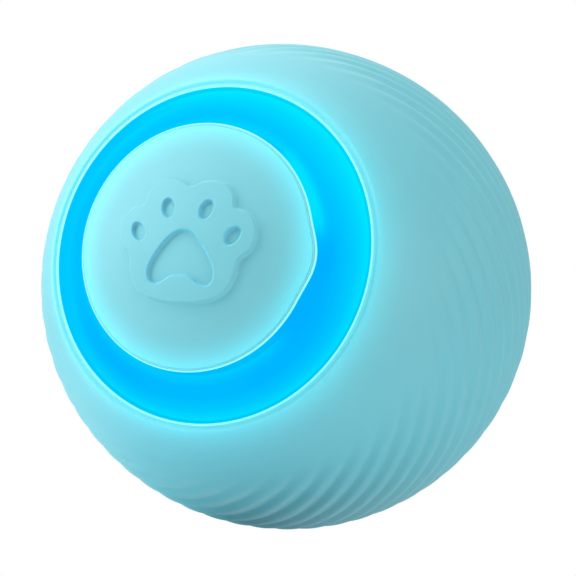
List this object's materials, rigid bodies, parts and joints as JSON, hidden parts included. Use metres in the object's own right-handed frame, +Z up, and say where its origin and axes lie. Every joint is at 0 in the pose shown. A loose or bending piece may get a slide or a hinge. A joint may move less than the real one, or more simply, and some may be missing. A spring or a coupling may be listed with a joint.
{
  "type": "automatic rolling dog toy ball",
  "caption": "Self-rolling dog toy ball with a ribbed rubber tread, a light ring and pull-off paw cap at its end, and a weighted gear drive inside.",
  "frame": {"origin": "centre of the ball, on its rolling axis", "axes": "+Y along the rolling axis from the charging side to the rear, so the cap with the thumb tab faces -Y; +Z up, with the paw upright"},
  "size_m": [0.08, 0.0836, 0.08],
  "materials": {
    "aqua_silicone": "soft matt silicone",
    "black_rubber": "matt",
    "shell_plastic": "satin moulded",
    "light_ring": "frosted, lit from inside",
    "white_plastic": "smooth moulded",
    "frame_plastic": "satin moulded",
    "black_plastic": "satin moulded",
    "circuit_board": "coated board",
    "battery_wrap": "smooth film",
    "lead_jacket": "satin",
    "steel": "machined",
    "ballast_steel": "cast",
    "brass": "machined"
  },
  "bodies": {
    "shell": {"tread_sleeve": "aqua_silicone", "shell_front": "shell_plastic", "shell_rear": "shell_plastic", "shell_seal": "black_rubber", "light_ring_front": "light_ring", "light_ring_rear": "light_ring", "bearing_front": "white_plastic", "bearing_rear": "white_plastic", "rear_cap": "aqua_silicone", "ring_gear": "white_plastic", "ring_gear_screw_1": "steel", "ring_gear_screw_2": "steel", "ring_gear_screw_3": "steel"},
    "drive_unit": {"front_plate": "frame_plastic", "rear_plate": "frame_plastic", "motor_plate": "frame_plastic", "cradle": "frame_plastic", "ballast_weight": "ballast_steel", "battery": "battery_wrap", "motor": "steel", "idler_pin": "steel", "main_board": "circuit_board", "charging_port": "steel", "power_switch": "black_plastic", "led_board_front": "circuit_board", "led_board_rear": "circuit_board", "front_light_lead": "lead_jacket", "rear_light_lead": "lead_jacket", "battery_lead": "lead_jacket", "motor_lead": "lead_jacket", "motor_plate_screw_1": "steel", "motor_plate_screw_2": "steel", "rear_plate_screw_1": "steel", "rear_plate_screw_2": "steel", "rear_plate_screw_3": "steel", "front_plate_screw_1": "steel", "front_plate_screw_2": "steel", "front_plate_screw_3": "steel", "front_plate_screw_4": "steel", "motor_screw_1": "steel", "motor_screw_2": "steel", "board_screw_1": "steel", "board_screw_2": "steel"},
    "compound_gear": {"compound_gear": "white_plastic"},
    "motor_rotor": {"motor_pinion": "brass", "motor_shaft": "steel"},
    "power_button": {"power_button": "white_plastic"},
    "front_cap": {"front_cap": "aqua_silicone"}
  },
  "joints": [
    {"name": "drive_roll", "type": "hinge", "parent": "shell", "child": "drive_unit", "pos_m": [0, 0, 0], "axis": [0, 1, 0], "continuous": true},
    {"name": "gear_spin", "type": "hinge", "parent": "drive_unit", "child": "compound_gear", "pos_m": [0, 0, -0.01621], "axis": [0, 1, 0], "continuous": true},
    {"name": "pinion_spin", "type": "hinge", "parent": "drive_unit", "child": "motor_rotor", "pos_m": [0, 0, -0.00371], "axis": [0, 1, 0], "continuous": true},
    {"name": "power_press", "type": "slide", "parent": "drive_unit", "child": "power_button", "axis": [0, 1, 0], "range_m": [0, 0.0005], "stiffness_N_per_m": 1500},
    {"name": "front_cap_pull", "type": "slide", "parent": "shell", "child": "front_cap", "axis": [0, -1, 0], "range_m": [0, 0.03]}
  ],
  "couplings": [
    {"joint": "gear_spin", "follows": "drive_roll", "ratio": -4},
    {"joint": "pinion_spin", "follows": "drive_roll", "ratio": 16}
  ]
}
